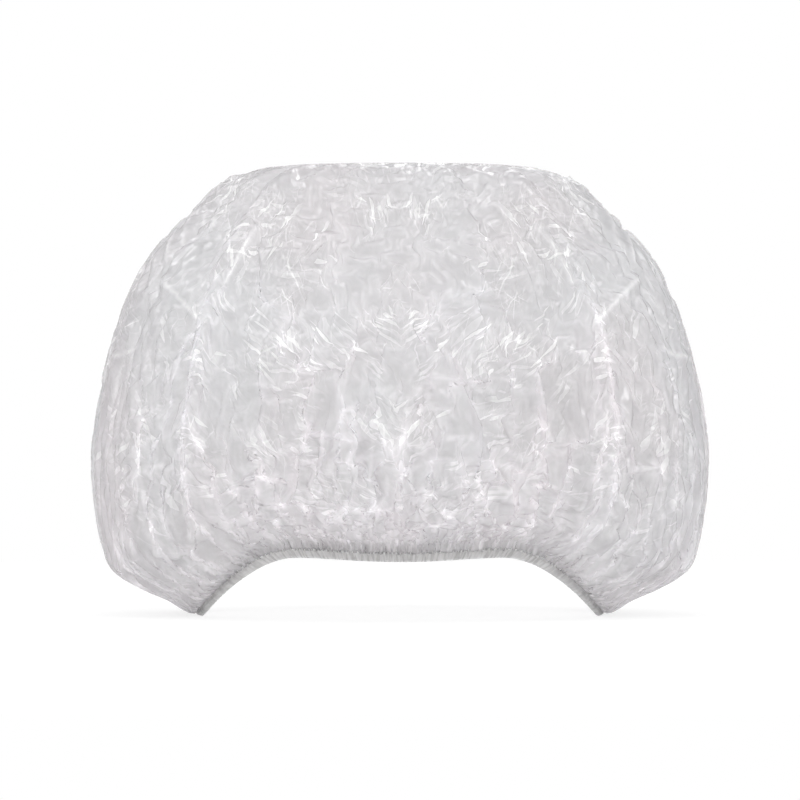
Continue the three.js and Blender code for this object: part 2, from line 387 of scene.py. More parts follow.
# %% Gathered film
COARSE_CELLS, COARSE_ROUNDS = 150, 60
FINE_CELLS, FINE_ROUNDS, QUICK_ROUNDS = 300, 90, 4
FOLD_INWARD = 1.4 * MM
FOLD_OUTWARD = 0.6 * MM
HEM_PLEAT = 0.5 * MM
FILM_SLIDE = 5 * MM
FLOOR_CLEARANCE = 0.3 * MM
HEM_ROOM = 0.1
CROWN_ROOM, CROWN_ROOM_GAIN, CROWN_BEGINS, CROWN_GROWS = 0.45, 0.55, 0.15, 0.3
PATCH_SIZE, PATCH_SEED = 70 * MM, 11
SPARE_LEAST, SPARE_IN_PATCHES, SPARE_AT_HEM, SPARE_BEGINS, SPARE_GROWS = 0.30, 0.30, 0.40, 0.55, 0.45
CRUMPLE_LEAST, CRUMPLE_IN_PATCHES = 0.01, 0.04
BROAD_ROOF, BROAD_SIZE, BROAD_SEED = 3, 40 * MM, 3
NARROW_ROOF, NARROW_SIZE, NARROW_SEED = 1.5, 20 * MM, 4
FINE_ROOF, FINE_SIZE, FINE_SEED = 0.8 * MM, 9 * MM, 8
COARSE_SINK, FINE_SINK = 1, 0.2


def layer(ring, deep, hem):
    """Room around the dome: the hem's own at the edge, growing to full depth, and less at the crown."""
    edge = np.clip((1 - ring) / HEM_ROOM, 0, 1)
    crown = CROWN_ROOM + CROWN_ROOM_GAIN * np.clip((ring - CROWN_BEGINS) / CROWN_GROWS, 0, 1)
    return (hem + (deep * crown - hem) * edge**2 * (3 - 2 * edge))[..., None]


def gathered_film(cells, points=None, rounds=COARSE_ROUNDS):
    """One pass of the solver on a grid of that many cells, from the dome or from a coarser film."""
    ring, turn = disc_grid(cells)
    flat = FILM_RADIUS * np.stack([ring * np.cos(turn), ring * np.sin(turn)], axis=-1)
    target = dome(ring, turn)
    normal = grid_normals(target)
    target += (LONG_FOLD_HEIGHT * long_folds(flat) - main_folds(ring, turn))[..., None] * normal
    patches = 0.5 + 0.5 * np.clip(plane_waves(flat, PATCH_SIZE, PATCH_SEED), -1, 1)
    near_hem = np.clip((ring - SPARE_BEGINS) / SPARE_GROWS, 0, 1)
    loose = SPARE_LEAST + SPARE_IN_PATCHES * patches + SPARE_AT_HEM * near_hem
    crumple = CRUMPLE_LEAST + CRUMPLE_IN_PATCHES * patches
    if points is None:
        rise = BROAD_ROOF * roofs(flat, BROAD_SIZE, BROAD_SEED)
        rise = rise + NARROW_ROOF * roofs(flat, NARROW_SIZE, NARROW_SEED) - COARSE_SINK
        points = target + MM * rise[..., None] * normal
    else:
        rise = roofs(flat, FINE_SIZE, FINE_SEED)[..., None] - FINE_SINK
        points = finer(points, cells) + FINE_ROOF * rise * normal
    low, high = -layer(ring, FOLD_INWARD, HEM_PLEAT), layer(ring, FOLD_OUTWARD, HEM_PLEAT)
    edges = film_edges(flat, loose[..., None], crumple[..., None], target)
    points = relax(points, target, normal, edges, low, high, layer(ring, FILM_SLIDE, HEM_PLEAT), rounds)
    return points, flat


film_points, film_flat = gathered_film(COARSE_CELLS)
film_points, film_flat = gathered_film(FINE_CELLS, film_points, FINE_ROUNDS)
film_points[..., 2] = np.maximum(film_points[..., 2], FLOOR_CLEARANCE)
film_share = grid_area(film_points) / (np.pi * FILM_RADIUS**2)
print("gathered film:", film_points.shape, "area share", round(film_share, 3))

# %% [markdown]
# ## From arrays to meshes
# A grid of points becomes a mesh with one quad to a cell. Its own UV map keeps each point's place on the flat
# piece, in metres, so a pattern printed on the flat film follows every fold.

# %% Grid to mesh


def grid_mesh(name, points, uv, ring=False):
    """Mesh object of a grid of points; a ring also joins the last column to the first."""
    rows, columns = points.shape[:2]
    i, j = np.meshgrid(np.arange(rows - 1), np.arange(columns if ring else columns - 1), indexing="ij")
    k = (j + 1) % columns
    quads = np.stack([i * columns + j, (i + 1) * columns + j, (i + 1) * columns + k, i * columns + k], -1)
    mesh = bpy.data.meshes.new(name)
    mesh.from_pydata(points.reshape(-1, 3), [], quads.reshape(-1, 4).tolist())
    mesh.polygons.foreach_set("use_smooth", np.ones(len(mesh.polygons), bool))
    over = np.stack([i, i + 1, i + 1, i], -1), np.stack([j, j, j + 1, j + 1], -1)
    mesh.uv_layers.new(name="flat").data.foreach_set("uv", uv(*over).reshape(-1).astype(np.float32))
    piece = bpy.data.objects.new(name, mesh)
    bpy.context.collection.objects.link(piece)
    return piece


crown_piece = grid_mesh("crown_film_sheet", film_points, lambda i, j: film_flat[i, j])
print("crown film:", len(crown_piece.data.polygons), "cells")

# %% [markdown]
# ## The hem
# The hem's parts are ribbons along one oval path. A point of the band is given by its angle, how far out it
# lies from the band's middle, and how far up from its lower edge. The turned film is drawn in to a third of
# its length, so it stands in fine pleats, slanting on the sides where the hem runs downhill.

# %% Hem path and ribbons
HEM_STEPS = 1600
SLOPE_STEP = np.pi / 48
PLEATS = 262
PLEAT_DEPTH = 0.3 * MM
PLEAT_LEAN = 2.3 / MM
PLEAT_WANDER = ((1.3, 9, 0), (1.1, 23, 1), (0.7, 41, 2))
PLEAT_EVEN, PLEAT_DOWNHILL, PLEAT_UNEVEN = 0.4, 0.45, 0.15
PLEAT_PATCHES, PLEAT_PATCH_START = 17, 0.6


def hem_edge(turn):
    """Lower edge of the band: the opening's oval, raised by the arch less its sag."""
    x, y = oval(turn, OPENING_HALF_WIDTH, OPENING_HALF_DEPTH, OPENING_EXPONENT)
    return np.stack([x, y, ARCH_HEIGHT * (1 - arch_fall(turn)) - ARCH_SAG * arch_sag(turn)], axis=-1)


def hem_point(turn, out, up):
    """Point out from and up the band, square to the way that its edge runs."""
    along = hem_edge(turn + SLOPE_STEP) - hem_edge(turn - SLOPE_STEP)
    along /= np.linalg.norm(along, axis=-1, keepdims=True)
    upward = np.array([0, 0, 1]) - along[..., 2:] * along
    upward /= np.linalg.norm(upward, axis=-1, keepdims=True)
    return hem_edge(turn) + out[..., None] * np.cross(along, upward) + up[..., None] * upward


def pleat_phase(turn, up):
    """Phase of the pleats: it wanders around the hem, by a few sines, and leans downhill with height."""
    wander = sum(size * np.sin(waves * turn + start) for size, waves, start in PLEAT_WANDER)
    return PLEATS * turn + wander - PLEAT_LEAN * up * np.sin(2 * turn)


def pleats(turn, up):
    """Uneven pleats: a wave of that phase, deepest where the hem runs downhill."""
    uneven = PLEAT_UNEVEN * np.sin(PLEAT_PATCHES * turn + PLEAT_PATCH_START)
    depth = PLEAT_EVEN + PLEAT_DOWNHILL * np.sin(2 * turn) ** 2 + uneven
    return np.sin(pleat_phase(turn, up)) * depth


def hem_ribbon(name, outs, ups, pleat, closed=True, turns=None):
    """Ribbon with a section of (out, up) corners carried around the hem, pleated by a share at each one."""
    ring = turns is None
    turns = np.linspace(0, 2 * np.pi, HEM_STEPS, endpoint=False) if ring else turns
    if closed:
        outs, ups, pleat = (np.append(values, values[0]) for values in (outs, ups, pleat))
    turn, out = np.meshgrid(turns, outs)
    up = np.meshgrid(turns, ups)[1]
    depth = PLEAT_DEPTH * np.meshgrid(turns, pleat)[1]
    points = hem_point(turn, out + depth * pleats(turn, up), up)
    length = np.concatenate([[0], np.cumsum(np.hypot(np.diff(outs), np.diff(ups)))])
    ends = np.append(turns, turns[0] + 2 * np.pi) if ring else turns

    def flat(i, j):
        """Place on the flat ribbon: the pleats' phase as a length around, and the way along the section."""
        return np.stack([pleat_phase(ends[j], ups[i]) * OPENING_HALF_WIDTH / PLEATS, length[i]], -1)

    return grid_mesh(name, points, flat, ring)


hem_steps = np.diff(hem_edge(np.linspace(0, 2 * np.pi, HEM_STEPS + 1)), axis=0)
print("the hem is", np.linalg.norm(hem_steps, axis=1).sum().round(4), "m round")

# %% [markdown]
# The casing is the film turned over the elastic: up the outside, over the lower edge and up the inside. The
# facing is its raw edge, standing inside above the weld. The weld is a line pressed along the top of the band,
# with light dashes on it that are painted highlights of the pleats. Each is one section carried around the hem,
# given in shares of the band's half thickness and height.

# %% Casing and facing
half = HEM_THICKNESS / 2
lower_edge = np.linspace(0, np.pi, 9)
OUTER_OUT, OUTER_UP, OUTER_PLEAT = [0.25, 0.7, 0.92, 1], [1.06, 1.0, 0.9, 0.6], [1.3, 1.1, 1, 1]
INNER_OUT, INNER_UP, INNER_PLEAT = [-1, -0.92], [0.6, 1.0], [1, 1]
EDGE_SMOOTHING = 0.75
casing_outs = half * np.concatenate([OUTER_OUT, np.cos(lower_edge), INNER_OUT])
casing_ups = np.concatenate([HEM_HEIGHT * np.array(OUTER_UP), half * (1 - np.sin(lower_edge)),
                             HEM_HEIGHT * np.array(INNER_UP)])
casing_pleat = np.concatenate([OUTER_PLEAT, 1 - EDGE_SMOOTHING * np.sin(lower_edge), INNER_PLEAT])
casing = hem_ribbon("hem_casing_film", casing_outs, casing_ups, casing_pleat, closed=False)

FACING_ROWS = 5
facing_ups = HEM_HEIGHT + MM * np.linspace(0.1, 2.9, FACING_ROWS)
facing_outs = -half * np.linspace(0.9, 0.75, FACING_ROWS)
facing_pleat = np.linspace(1, 2, FACING_ROWS)
facing = hem_ribbon("hem_facing_film", facing_outs, facing_ups, facing_pleat, closed=False)
print("film of the hem:", casing.name, facing.name)

# %% Weld, elastic and lap
WELD_OUT, WELD_HALF_WIDTH = 1.05, 0.3
WELD_UP, WELD_HALF_HEIGHT = 0.84, 0.09
bead = np.linspace(0, 2 * np.pi, 8, endpoint=False)
weld_outs = half * (WELD_OUT + WELD_HALF_WIDTH * np.cos(bead))
weld_ups = HEM_HEIGHT * (WELD_UP + WELD_HALF_HEIGHT * np.sin(bead))
weld = hem_ribbon("hem_weld_line", weld_outs, weld_ups, np.ones(len(bead)))

ELASTIC_HALF_THICKNESS = 0.25 * MM
ELASTIC_LOW, ELASTIC_MIDDLE, ELASTIC_HIGH = 0.6 * MM, 1.6 * MM, 2.6 * MM
band_outs = ELASTIC_HALF_THICKNESS * np.array([-1, 1, 1, 1, -1, -1])
band_ups = np.array([ELASTIC_LOW, ELASTIC_LOW, ELASTIC_MIDDLE, ELASTIC_HIGH, ELASTIC_HIGH, ELASTIC_MIDDLE])
elastic = hem_ribbon("elastic_strip", band_outs, band_ups, np.zeros(len(band_outs)))

LAP_HALF_TURN, LAP_STEPS = 0.2, 120
LAP_SPARE = 0.35 * MM
LAP_UP = 0.95
LAP_WALL_PLEAT, LAP_EDGE_PLEAT, LAP_EDGE_SMOOTHING = 0.6, 0.5, 0.3
lap_turns = np.pi + np.linspace(-LAP_HALF_TURN, LAP_HALF_TURN, LAP_STEPS)
lap_half = half + LAP_SPARE
lap_top = HEM_HEIGHT * LAP_UP
lap_outs = np.concatenate([[lap_half], lap_half * np.cos(lower_edge), [-lap_half]])
lap_ups = np.concatenate([[lap_top], half - lap_half * np.sin(lower_edge), [lap_top]])
lap_pleat = LAP_EDGE_PLEAT - LAP_EDGE_SMOOTHING * np.sin(lower_edge)
lap_pleat = np.concatenate([[LAP_WALL_PLEAT], lap_pleat, [LAP_WALL_PLEAT]])
lap = hem_ribbon("hem_lap_film", lap_outs, lap_ups, lap_pleat, closed=False, turns=lap_turns)
print("other hem pieces:", weld.name, elastic.name, lap.name)

# %% [markdown]
# ## Node helpers
# A material is a network of small nodes: sums, ranges, noises and scattered cells. Short functions place them
# and return their outputs, so a finish reads like a formula.

# %% Node helpers


def feed(tree, sockets, values):
    """Gives each socket its value: a link from another socket, or a constant if it is a number or a list."""
    for socket, value in zip(sockets, values):
        if isinstance(value, bpy.types.NodeSocket):
            tree.links.new(value, socket)
        else:
            socket.default_value = value


def blend_colours(tree, first, second, share):
    """Mix of two colours, each a socket or a value, by a socket that gives the second one's share."""
    mix = tree.nodes.new("ShaderNodeMix")
    mix.data_type = "RGBA"
    feed(tree, (mix.inputs["A"], mix.inputs["B"], mix.inputs["Factor"]), (first, second, share))
    return mix.outputs["Result"]


def new_group(name, inputs, outputs):
    """Empty shader group with inputs and outputs of the given labels and kinds."""
    group = bpy.data.node_groups.new(name, "ShaderNodeTree")
    for label, kind in inputs:
        group.interface.new_socket(label, in_out="INPUT", socket_type=kind)
    for label, kind in outputs:
        group.interface.new_socket(label, in_out="OUTPUT", socket_type=kind)
    return group, group.nodes.new("NodeGroupInput"), group.nodes.new("NodeGroupOutput")


def math_node(tree, operation, *values):
    """Math node on sockets or numbers; returns its output."""
    node = tree.nodes.new("ShaderNodeMath")
    node.operation = operation
    feed(tree, node.inputs, values)
    return node.outputs[0]


def vector_node(tree, operation, *values):
    """Vector math node on sockets or vectors; returns a number for a length or dot product, else a vector."""
    node = tree.nodes.new("ShaderNodeVectorMath")
    node.operation = operation
    feed(tree, node.inputs, values)
    return node.outputs["Value" if operation in ("LENGTH", "DOT_PRODUCT") else "Vector"]


def product(tree, first, *others):
    """Product of sockets or numbers, two at a time from the left."""
    for other in others:
        first = math_node(tree, "MULTIPLY", first, other)
    return first


def total(tree, values):
    """Sum of a list of sockets, two at a time from the left."""
    result = values[0]
    for value in values[1:]:
        result = math_node(tree, "ADD", result, value)
    return result


def stretch_range(tree, value, low, high, to_low, to_high):
    """Map Range node: low to high becomes to_low to to_high, clamped."""
    node = tree.nodes.new("ShaderNodeMapRange")
    tree.links.new(value, node.inputs["Value"])
    for label, number in zip(("From Min", "From Max", "To Min", "To Max"), (low, high, to_low, to_high)):
        node.inputs[label].default_value = number
    return node.outputs[0]


def noise(tree, place, scale, detail, label="Fac"):
    """Noise texture read at a place, with a feature size of about one over its scale."""
    node = tree.nodes.new("ShaderNodeTexNoise")
    node.noise_dimensions = "2D"
    tree.links.new(place, node.inputs["Vector"])
    node.inputs["Scale"].default_value = scale
    node.inputs["Detail"].default_value = detail
    return node.outputs[label]


def scattered_cells(tree, place, size, lean, stretch, feature):
    """Voronoi cells on a place in metres, longer than wide by the stretch squared, turned by the lean."""
    turned = tree.nodes.new("ShaderNodeMapping")
    turned.vector_type = "TEXTURE"
    turned.inputs["Rotation"].default_value[2] = lean
    turned.inputs["Scale"].default_value = (size * stretch, size / stretch, 1)
    tree.links.new(place, turned.inputs["Vector"])
    cells = tree.nodes.new("ShaderNodeTexVoronoi")
    cells.voronoi_dimensions = "2D"
    cells.feature = feature
    cells.inputs["Scale"].default_value = 1
    tree.links.new(turned.outputs[0], cells.inputs["Vector"])
    return cells.outputs


def cell_chance(tree, place, size, lean, stretch):
    """A random value from 0 to 1 for each scattered cell."""
    parts = tree.nodes.new("ShaderNodeSeparateColor")
    tree.links.new(scattered_cells(tree, place, size, lean, stretch, "F1")["Color"], parts.inputs[0])
    return parts.outputs[0]


def bend_normal(tree, shader, height, distance, strength=1):
    """Bump node that bends the shader's normal by a height socket times a distance."""
    bump = tree.nodes.new("ShaderNodeBump")
    bump.inputs["Strength"].default_value = strength
    bump.inputs["Distance"].default_value = distance
    tree.links.new(height, bump.inputs["Height"])
    tree.links.new(bump.outputs[0], shader.inputs["Normal"])


# %% [markdown]
# ## Crinkles
# Creased film is a patchwork of small flat facets with sharp ridges between them. The distance to the edge of
# Voronoi cells is just such a roof over every cell, and several sizes of it make the crinkles. Most are long
# and narrow and run up from the hem with the gathers, so their cells are laid out by angle and distance from
# the film's middle. A slow noise gathers them in clusters with smoother film between. The cap was packed
# folded in four, so the quarters mirror each other. The borders, some scattered cells, the long folds and
# upright ticks near the hem are painted white: painted glints, partly the whitening that creased film shows.

# %% Sizes of the crinkles
# CREASES: cell size, lean, stretch, slope, highest roof, painted glint white of its border, cluster and layout.
# Streaks of painted glint: cell size, lean, stretch, white, cluster and layout. FACETS: cell size, lean and
# stretch.
ANYWHERE, GATHERED = 0, 1
CREASES = (
    (10 * MM, 0.7, 1.7, 0.4, 1, 0.26, 0, ANYWHERE),
    (7 * MM, 1.35, 2.4, 0.5, 0.12, 0.34, 1, GATHERED),
    (4.5 * MM, 2.4, 1.6, 0.3, 1, 0.1, 0, ANYWHERE),
    (16 * MM, 1.8, 2.2, 0.5, 0.06, 0.4, 2, GATHERED),
    (6 * MM, 0.1, 2.0, 0.4, 0.2, 0.2, 2, ANYWHERE),
)
# Scattered streaks of painted glint, white on the base colour.
GLINT_STREAKS = (
    (3.2 * MM, 1.35, 3.0, 0.54, 0, GATHERED),
    (2.4 * MM, 1.85, 2.6, 0.54, 1, GATHERED),
    (2.8 * MM, 2.2, 2.0, 0.46, 2, ANYWHERE),
    (5 * MM, 1.6, 2.4, 0.22, 1, GATHERED),
)
FACETS = ((9 * MM, 0.7, 1.7), (6 * MM, -0.6, 1.9), (13 * MM, 1.9, 1.6))
CREASE_BEND, BEND_SCALE = 2.5 * MM, 40
BORDER_WIDTH = 0.04
GLINT_CHANCE = (0.84, 0.97)
CLUSTER_SCALE = 28
ROUGH_CLUSTERS, ROUGH_LEAST = (0.45, 0.62), 0.04
# Clusters in which the painted glints lie.
GLINT_CLUSTERS, GLINT_LEAST = (0.53, 0.65), 0
BREAK_SCALE, BREAKS = 130, (0.42, 0.58)
GATHER_SLANT = 60 * MM
GATHERS_BEGIN, GATHERS_WHOLE = 30 * MM, 70 * MM
GATHER_EASING = 1.3
CALM_AT_HEM = 0.15
TICK_SCALE, TICK_SHORTENING, TICKS, TICK_WHITE = 600, 0.15, (0.5, 0.75), 0.3
FOLD_BREAK_SCALE, FOLD_BREAKS = 90, (0.35, 0.6)
FOLD_CORE, FOLD_FADE, FOLD_WHITE = 0.2 * MM, 1.6 * MM, 0.3
print("crinkles:", len(CREASES), "kinds of creases,", len(GLINT_STREAKS), "of streaks,", len(FACETS), "of facets")

# %% Crinkle node group


def clusters(tree, place, low, high, least):
    """Three slow masks, from a least value to 1, that leave smooth film between clusters."""
    parts = tree.nodes.new("ShaderNodeSeparateColor")
    tree.links.new(noise(tree, place, CLUSTER_SCALE, 2, "Color"), parts.inputs[0])
    return [stretch_range(tree, channel, low, high, least, 1) for channel in parts.outputs]


def along_gathers(tree, place, reach, way_out, slant):
    """The place as (way around, way out): its angle times the opening's half width, slanted on the lower
    half, and a share of its distance from the middle."""
    parts = tree.nodes.new("ShaderNodeSeparateXYZ")
    tree.links.new(place, parts.inputs[0])
    angle = math_node(tree, "ARCTAN2", parts.outputs[1], parts.outputs[0])
    aside = stretch_range(tree, reach, FILM_RADIUS / 2, FILM_RADIUS, 0, slant)
    around = math_node(tree, "MULTIPLY_ADD", angle, OPENING_HALF_WIDTH, aside)
    polar = tree.nodes.new("ShaderNodeCombineXYZ")
    feed(tree, polar.inputs, (around, product(tree, reach, way_out)))
    return polar.outputs[0]


def wavy(tree, place):
    """The place moved by a slow noise, so that no crease is quite straight."""
    sway = noise(tree, place, BEND_SCALE, 1, "Color")
    return vector_node(tree, "MULTIPLY_ADD", sway, [CREASE_BEND] * 3, place)


def fold_glints(tree, place):
    """Painted glint along the long folds: brightest along the crease, and broken here and there."""
    gaps = []
    for start, run in zip(LONG_FOLDS[:, :2], LONG_FOLDS[:, 2:] - LONG_FOLDS[:, :2]):
        away = vector_node(tree, "SUBTRACT", place, (*start, 0))
        share = vector_node(tree, "DOT_PRODUCT", away, (*run / (run @ run), 0))
        share = stretch_range(tree, share, 0, 1, 0, 1)
        gaps.append(vector_node(tree, "LENGTH", vector_node(tree, "MULTIPLY_ADD", (*-run, 0), share, away)))
    nearest = gaps[0]
    for gap in gaps[1:]:
        nearest = math_node(tree, "MINIMUM", nearest, gap)
    broken = stretch_range(tree, noise(tree, place, FOLD_BREAK_SCALE, 2), *FOLD_BREAKS, 0, 1)
    return product(tree, stretch_range(tree, nearest, FOLD_CORE, FOLD_FADE, FOLD_WHITE, 0), broken)


def crinkle_group():
    """Height in millimetres, white glints painted on the creases, partly their whitening, facet tone and
    gathering of film creased at a place in metres.
    """
    labels = ("Height", "PaintedGlint", "Facet", "Gather")
    tree, ins, outs = new_group("film_crinkle", [("Place", "NodeSocketVector")],
                                [(label, "NodeSocketFloat") for label in labels])
    place = vector_node(tree, "ABSOLUTE", ins.outputs["Place"])
    reach = vector_node(tree, "LENGTH", place)
    places = wavy(tree, place), wavy(tree, along_gathers(tree, place, reach, 1, GATHER_SLANT))
    drawn = 1, stretch_range(tree, reach, GATHERS_BEGIN, GATHERS_WHOLE, 0, 1)
    gather = stretch_range(tree, reach, FILM_RADIUS / 2, FILM_RADIUS, 0, 1)
    gather = math_node(tree, "POWER", gather, GATHER_EASING)
    rough = clusters(tree, place, *ROUGH_CLUSTERS, ROUGH_LEAST)
    glinting = clusters(tree, place, *GLINT_CLUSTERS, GLINT_LEAST)
    broken = stretch_range(tree, noise(tree, place, BREAK_SCALE, 1), *BREAKS, 0, 1)
    heights, whites = [], []
    # Each border is painted white: a painted glint, partly the whitening of the crease.
    for size, lean, stretch, slope, highest, line, cluster, way in CREASES:
        roof = scattered_cells(tree, places[way], size, lean, stretch, "DISTANCE_TO_EDGE")["Distance"]
        part = product(tree, math_node(tree, "MINIMUM", roof, highest), slope * size / MM)
        heights.append(product(tree, part, product(tree, rough[cluster], drawn[way])))
        border = product(tree, stretch_range(tree, roof, 0, BORDER_WIDTH, line, 0), drawn[way])
        whites.append(product(tree, border, product(tree, glinting[cluster], broken)))
    # Bright scattered cells: painted glints.
    for size, lean, stretch, amount, cluster, way in GLINT_STREAKS:
        chance = cell_chance(tree, places[way], size, lean, stretch)
        bright = stretch_range(tree, chance, *GLINT_CHANCE, 0, amount)
        whites.append(product(tree, bright, drawn[way], glinting[cluster]))
    calm = stretch_range(tree, gather, 0, 1, 1, CALM_AT_HEM)
    white = product(tree, total(tree, [*whites, fold_glints(tree, place)]), calm)
    # Upright ticks near the hem: painted glints on the gathers.
    lines = noise(tree, along_gathers(tree, place, reach, TICK_SHORTENING, 0), TICK_SCALE, 1)
    ticks = product(tree, stretch_range(tree, lines, *TICKS, 0, TICK_WHITE), gather)
    facets = [cell_chance(tree, places[ANYWHERE], size, lean, stretch) for size, lean, stretch in FACETS]
    facet = math_node(tree, "DIVIDE", total(tree, facets), len(FACETS))
    values = (total(tree, heights), math_node(tree, "ADD", white, ticks), facet, gather)
    feed(tree, [outs.inputs[label] for label in labels], values)
    return tree


crinkle = crinkle_group()
print("crinkle group:", len(crinkle.nodes), "nodes")

# %% [markdown]
# ## Film finish
# Thin clear film shows what is behind it, greyed a little by each layer, and throws sharp glints from its
# facets. A part opacity gives the see-through, a high index of refraction keeps the glints strong in spite of
# it, and a little scattering between its layers softens the shade of every crease. The crinkle group bends
# the normals, paints white glints along the creases, partly the whitening of creased film, and sets each
# facet apart by a shade. Towards the hem the film is painted darker: painted shade, and the greyer stacked
# film.

# %% Film material
SHADOW_SHARE = 0.4
FILM_IOR = 2
FILM_SCATTER = 10 * MM
PATCH_SCALE, PATCHES = 14, (0.35, 0.65)
FACET_TONES, FACET_SHADE = (0.2, 0.8), 0.17
# Darkening towards the hem: painted shade, and the greyer stacked film.
STACK_SHADE = 0.68
# Colour of the painted glints along the creases.
GLINT_WHITE = (0.97, 0.97, 0.97, 1)
CREASE_OPACITY, CREASE_ROUGHNESS = 0.15, 0.05


def new_material(name):
    """Material with its node tree, shader and the flat place as a socket."""
    material = bpy.data.materials.new(name)
    material.use_nodes = True
    tree = material.node_tree
    uv = tree.nodes.new("ShaderNodeUVMap")
    uv.uv_map = "flat"
    return material, tree, tree.nodes["Principled BSDF"], uv.outputs[0]


def scatter_softly(shader, reach):
    """Strong glints over a body that scatters light as far as the reach."""
    shader.inputs["IOR"].default_value = FILM_IOR
    shader.subsurface_method = "BURLEY"
    shader.inputs["Subsurface Weight"].default_value = 1
    shader.inputs["Subsurface Radius"].default_value = (1, 1, 1)
    shader.inputs["Subsurface Scale"].default_value = reach


def lets_light_by(tree, opacity):
    """Opacity that is lower for shadow rays, because clear film casts hardly any shadow."""
    seen = tree.nodes.new("ShaderNodeLightPath")
    share = stretch_range(tree, seen.outputs["Is Shadow Ray"], 0, 1, 1, SHADOW_SHARE)
    return product(tree, opacity, share)


def film_material(name, colour, tint, stacked_and_shaded, opacity, roughness, crease):
    """See-through film of two close tones, with white glints painted along its creases, partly their whitening,
    and darker film towards the hem, and crinkles that bend its normal.
    """
    material, tree, shader, place = new_material(name)
    group = tree.nodes.new("ShaderNodeGroup")
    group.node_tree = crinkle
    tree.links.new(place, group.inputs["Place"])
    white = group.outputs["PaintedGlint"]
    patches = stretch_range(tree, noise(tree, place, PATCH_SCALE, 2), *PATCHES, 0, 1)
    tones = blend_colours(tree, (*colour, 1), (*tint, 1), patches)
    # Random shade per facet, and darker towards the hem: painted shade, and the greyer stacked film.
    shades = [stretch_range(tree, group.outputs["Facet"], *FACET_TONES, 0, FACET_SHADE),
              stretch_range(tree, group.outputs["Gather"], 0, 1, 0, STACK_SHADE)]
    body = blend_colours(tree, tones, (*stacked_and_shaded, 1), total(tree, shades))
    # The crease mask paints glints into the base colour, partly the whitening of creased film.
    tree.links.new(blend_colours(tree, body, GLINT_WHITE, white), shader.inputs["Base Color"])
    solid = stretch_range(tree, white, 0, 1, opacity, opacity + CREASE_OPACITY)
    tree.links.new(lets_light_by(tree, solid), shader.inputs["Alpha"])
    dull = stretch_range(tree, white, 0, 1, roughness, roughness + CREASE_ROUGHNESS)
    tree.links.new(dull, shader.inputs["Roughness"])
    bend_normal(tree, shader, group.outputs["Height"], crease)
    scatter_softly(shader, FILM_SCATTER)
    return material


# The stacked colour is painted shade towards the hem, and the greyer stacked film.
crown_finish = film_material("clear_film", colour=(0.525, 0.525, 0.54), tint=(0.525, 0.5, 0.515),
                             stacked_and_shaded=(0.37, 0.355, 0.365), opacity=0.55, roughness=0.14, crease=0.25 * MM)
print("film finish:", crown_finish.name)

# %% [markdown]
# ## Hem finishes
# In the hem the film lies double and is drawn into hundreds of pleats, which show as upright ticks of grey. A
# noise that is stretched upright gives them. Above the weld the hem is painted paler, as painted light where
# the overhanging film casts its shadow, and it is paler on the sides, where the gathers lie over it. The weld
# that closes it is a row of light dashes, which a sine gives: painted highlights of the pleats along it.

# %% Hem materials
# Light dashes on the weld: painted highlights of the pleats.
DASH_STEP, DASH_HIGHLIGHTS = 1.9 * MM, (-0.3, 0.4)
PLEAT_SCALE, PLEAT_STRETCH, PLEAT_RANGE, PLEAT_TONES = 900, 0.15, (0.36, 0.64), (-0.05, 0.72)
SIDES, SIDE_PALENESS = (0.5, 0.7), 0.3
# Painted light along the top of the casing, against the shadow of the overhanging film.
HEADING, HEADING_PAINTED_LIGHT = (1 * MM, 1.3 * MM), 0.3
HEM_ROUGHENING = 0.1
HEM_RELIEF = 0.15 * MM
HEM_SCATTER = 0.2 * MM


def hem_material(name, dark, light, opacity, roughness, highlight_dashes=False):
    """Doubled film with ticks that follow its pleats, or the even light dashes of a weld, painted highlights of
    the pleats along it.
    """
    material, tree, shader, place = new_material(name)
    parts = tree.nodes.new("ShaderNodeSeparateXYZ")
    tree.links.new(place, parts.inputs[0])
    along, across = parts.outputs[0], parts.outputs[1]
    if highlight_dashes:
        # Light dashes along the weld: painted highlights of the pleats.
        wave = math_node(tree, "SINE", product(tree, along, 2 * np.pi / DASH_STEP))
        tone = stretch_range(tree, wave, *DASH_HIGHLIGHTS, 0, 1)
    else:
        upright = tree.nodes.new("ShaderNodeCombineXYZ")
        feed(tree, upright.inputs, (along, product(tree, across, PLEAT_STRETCH)))
        grain = noise(tree, upright.outputs[0], PLEAT_SCALE, 2)
        ticks = stretch_range(tree, grain, *PLEAT_RANGE, *PLEAT_TONES)
        turn = math_node(tree, "DIVIDE", along, OPENING_HALF_WIDTH)
        side = math_node(tree, "ABSOLUTE", math_node(tree, "SINE", turn))
        # Paler on the sides, and painted light along the top of the casing, where the overhanging film casts
        # its shadow.
        pale = math_node(tree, "ADD", stretch_range(tree, side, *SIDES, 0, SIDE_PALENESS),
                         stretch_range(tree, across, *HEADING, HEADING_PAINTED_LIGHT, 0))
        tone = math_node(tree, "ADD", ticks, pale)
    tree.links.new(blend_colours(tree, (*dark, 1), (*light, 1), tone), shader.inputs["Base Color"])
    dull = stretch_range(tree, tone, 0, 1, roughness, roughness + HEM_ROUGHENING)
    tree.links.new(dull, shader.inputs["Roughness"])
    bend_normal(tree, shader, tone, HEM_RELIEF)
    tree.links.new(lets_light_by(tree, opacity), shader.inputs["Alpha"])
    scatter_softly(shader, HEM_SCATTER)
    return material


hem_finish = hem_material("gathered_film", dark=(0.64, 0.625, 0.63), light=(0.95, 0.94, 0.945),
                          opacity=0.75, roughness=0.25)
weld_finish = hem_material("welded_film", dark=(0.6, 0.59, 0.595), light=(0.95, 0.95, 0.95),
                           opacity=0.85, roughness=0.3, highlight_dashes=True)
print("hem finishes:", hem_finish.name, weld_finish.name)

